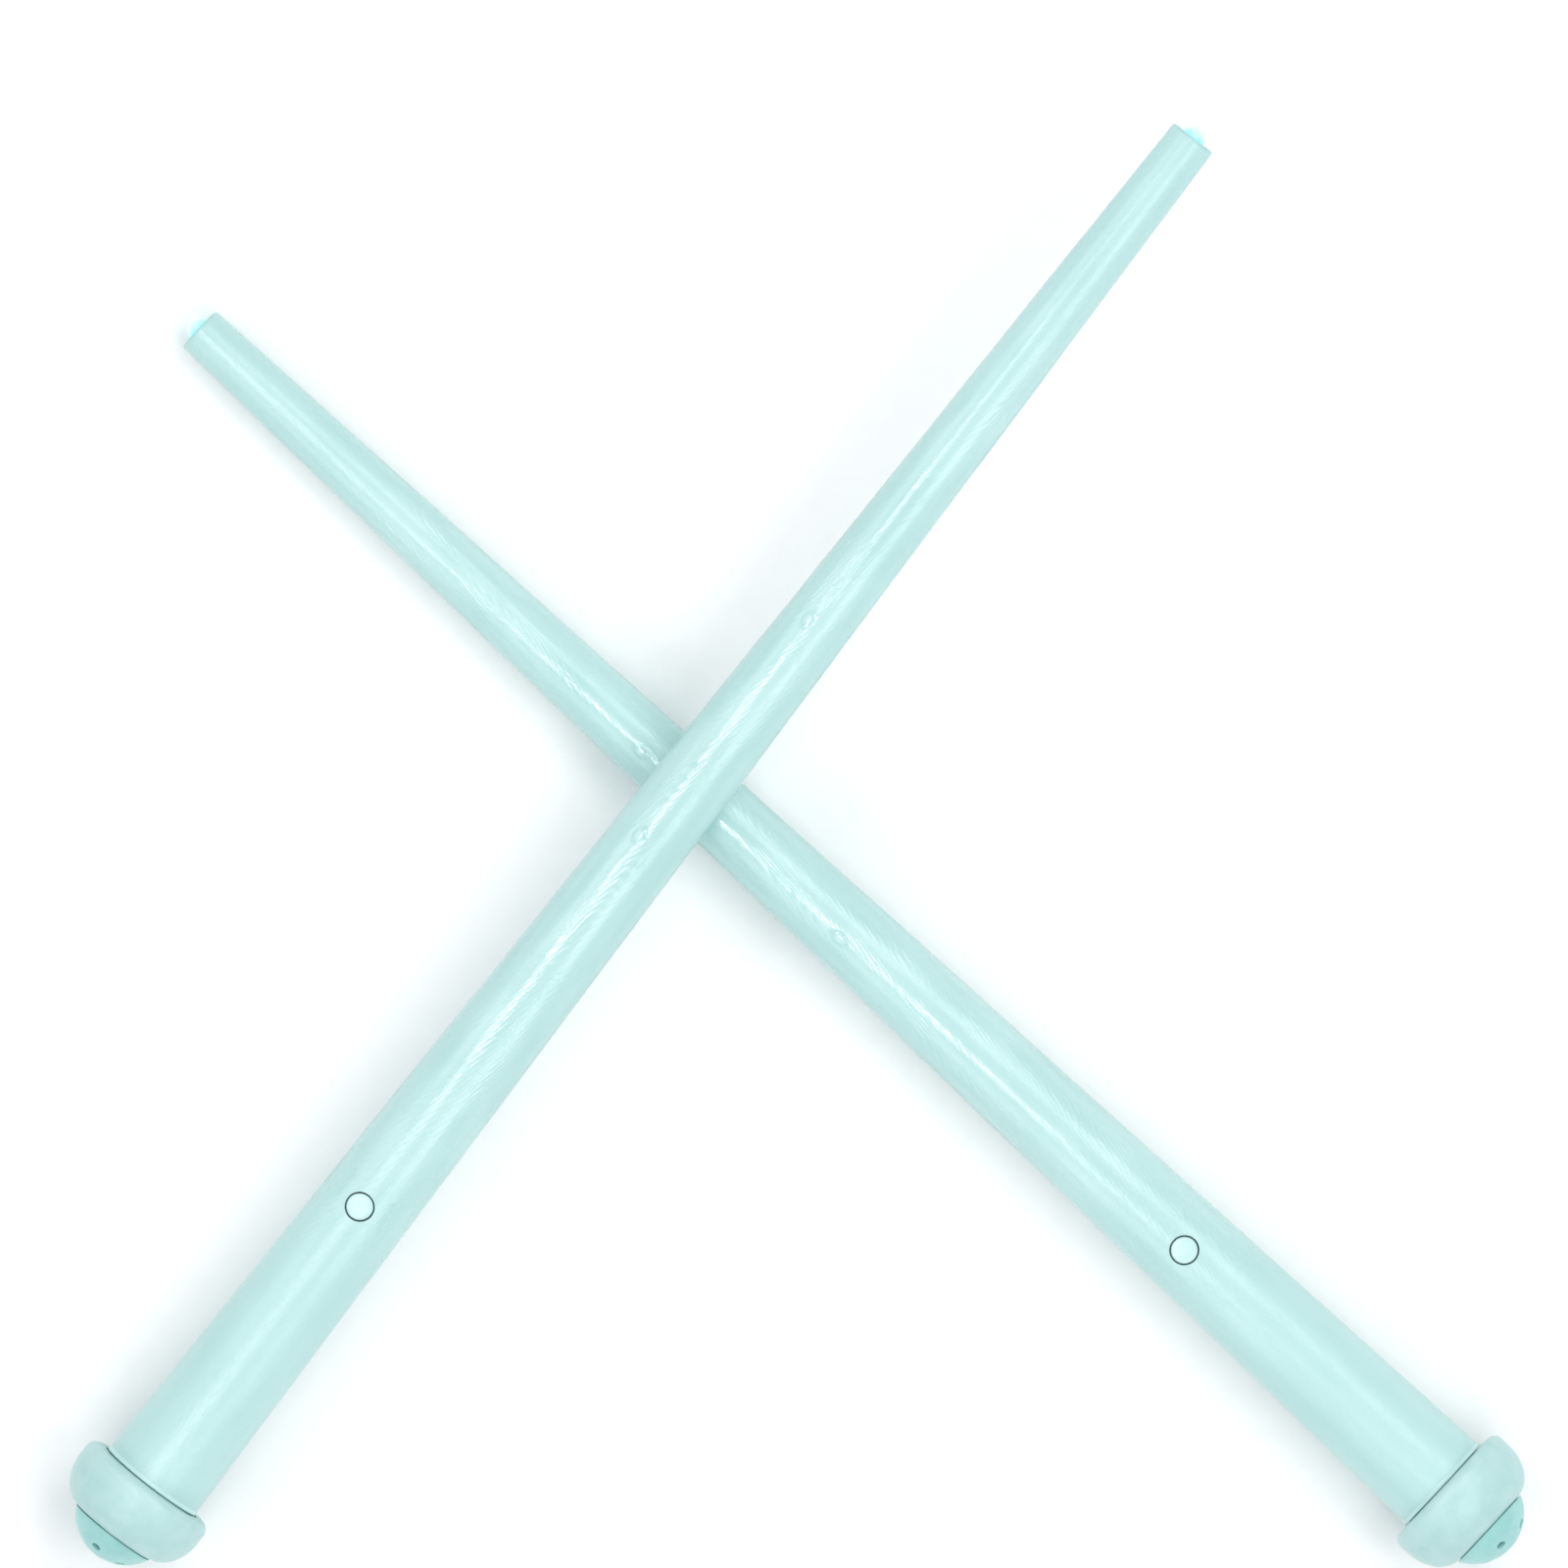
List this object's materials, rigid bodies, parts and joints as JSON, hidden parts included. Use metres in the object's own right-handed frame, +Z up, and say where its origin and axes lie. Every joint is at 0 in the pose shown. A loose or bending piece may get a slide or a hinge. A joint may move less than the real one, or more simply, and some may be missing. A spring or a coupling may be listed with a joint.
{
  "type": "pair of light-up sticks",
  "caption": "Pair of slim tapered light-up sticks lying crossed, each with a wood-grained plastic shaft, a round collar, a domed sound cap, a push button and a lit LED tip.",
  "frame": {"origin": "middle of the pair's bounding box, on the surface they lie on", "axes": "+Z up, away from that surface; +Y away from the two domed ends, towards the tips; +X from the upper stick's domed end to the lower stick's"},
  "size_m": [0.2868, 0.2844, 0.0373],
  "materials": {
    "shaft_plastic": "moulded wood grain, satin to gloss",
    "collar_plastic": "smooth gloss",
    "cap_plastic": "smooth gloss",
    "button_plastic": "smooth satin",
    "led_lens": "clear, lit blue-white",
    "white_plastic": "moulded",
    "black_plastic": "moulded",
    "tinned_wire": "tinned",
    "sleeve_rubber": "shrunk sleeve",
    "screw_steel": "zinc plated",
    "board_laminate": "green solder mask",
    "chip_resin": "drop of black resin",
    "resistor_coat": "lacquered",
    "capacitor_can": "bare can",
    "speaker_film": "thin dark film",
    "magnet_steel": "nickel plated",
    "cell_steel": "nickel plated",
    "contact_steel": "nickel plated",
    "wire_red": "insulation",
    "wire_black": "insulation",
    "wire_white": "insulation",
    "wire_blue": "insulation"
  },
  "bodies": {
    "upper_stick": {"upper_front_shell": "shaft_plastic", "upper_rear_shell": "shaft_plastic", "upper_pommel_ring": "collar_plastic", "upper_pommel_dome": "cap_plastic", "upper_tip_led": "led_lens", "upper_tip_bush": "white_plastic", "upper_led_leads": "tinned_wire", "upper_lead_sleeves": "sleeve_rubber", "upper_shell_screws": "screw_steel", "upper_board_screws": "screw_steel", "upper_circuit_board": "board_laminate", "upper_switch_body": "black_plastic", "upper_chip_blob": "chip_resin", "upper_resistor": "resistor_coat", "upper_capacitor": "capacitor_can", "upper_speaker_frame": "black_plastic", "upper_speaker_cone": "speaker_film", "upper_speaker_magnet": "magnet_steel", "upper_battery_holder": "white_plastic", "upper_button_cells": "cell_steel", "upper_positive_contact": "contact_steel", "upper_negative_spring": "contact_steel", "upper_led_wire_positive": "wire_red", "upper_led_wire_negative": "wire_black", "upper_speaker_wires": "wire_white", "upper_battery_wires": "wire_blue"},
    "upper_button": {"upper_push_button": "button_plastic", "upper_switch_plunger": "black_plastic"},
    "upper_battery_door": {"upper_battery_door": "shaft_plastic"},
    "upper_door_screw": {"upper_door_screw": "screw_steel"},
    "lower_stick": {"lower_front_shell": "shaft_plastic", "lower_rear_shell": "shaft_plastic", "lower_pommel_ring": "collar_plastic", "lower_pommel_dome": "cap_plastic", "lower_tip_led": "led_lens", "lower_tip_bush": "white_plastic", "lower_led_leads": "tinned_wire", "lower_lead_sleeves": "sleeve_rubber", "lower_shell_screws": "screw_steel", "lower_board_screws": "screw_steel", "lower_circuit_board": "board_laminate", "lower_switch_body": "black_plastic", "lower_chip_blob": "chip_resin", "lower_resistor": "resistor_coat", "lower_capacitor": "capacitor_can", "lower_speaker_frame": "black_plastic", "lower_speaker_cone": "speaker_film", "lower_speaker_magnet": "magnet_steel", "lower_battery_holder": "white_plastic", "lower_button_cells": "cell_steel", "lower_positive_contact": "contact_steel", "lower_negative_spring": "contact_steel", "lower_led_wire_positive": "wire_red", "lower_led_wire_negative": "wire_black", "lower_speaker_wires": "wire_white", "lower_battery_wires": "wire_blue"},
    "lower_button": {"lower_push_button": "button_plastic", "lower_switch_plunger": "black_plastic"},
    "lower_battery_door": {"lower_battery_door": "shaft_plastic"},
    "lower_door_screw": {"lower_door_screw": "screw_steel"}
  },
  "joints": [
    {"name": "upper_stick_lift", "type": "slide", "parent": "lower_stick", "child": "upper_stick", "axis": [0, 0, 1], "range_m": [0, 0.15]},
    {"name": "upper_button_press", "type": "slide", "parent": "upper_stick", "child": "upper_button", "axis": [0.1007, -0.0124, -0.9948], "range_m": [0, 0.0003], "stiffness_N_per_m": 1500, "springref_m": -0.0008},
    {"name": "upper_door_lift", "type": "slide", "parent": "upper_stick", "child": "upper_battery_door", "axis": [0.1007, -0.0124, -0.9948], "range_m": [0, 0.025]},
    {"name": "upper_door_screw_turn", "type": "hinge", "parent": "upper_battery_door", "child": "upper_door_screw", "pos_m": [-0.10328, -0.0956, 0.00896], "axis": [0.1007, -0.0124, -0.9948], "range_deg": [0, 1665]},
    {"name": "lower_button_press", "type": "slide", "parent": "lower_stick", "child": "lower_button", "axis": [0.0803, 0.0444, -0.9958], "range_m": [0, 0.0003], "stiffness_N_per_m": 1500, "springref_m": -0.0008},
    {"name": "lower_door_lift", "type": "slide", "parent": "lower_stick", "child": "lower_battery_door", "axis": [0.0803, 0.0444, -0.9958], "range_m": [0, 0.025]},
    {"name": "lower_door_screw_turn", "type": "hinge", "parent": "lower_battery_door", "child": "lower_door_screw", "pos_m": [0.10026, -0.09992, 0.00564], "axis": [0.0803, 0.0444, -0.9958], "range_deg": [0, 1665]}
  ]
}
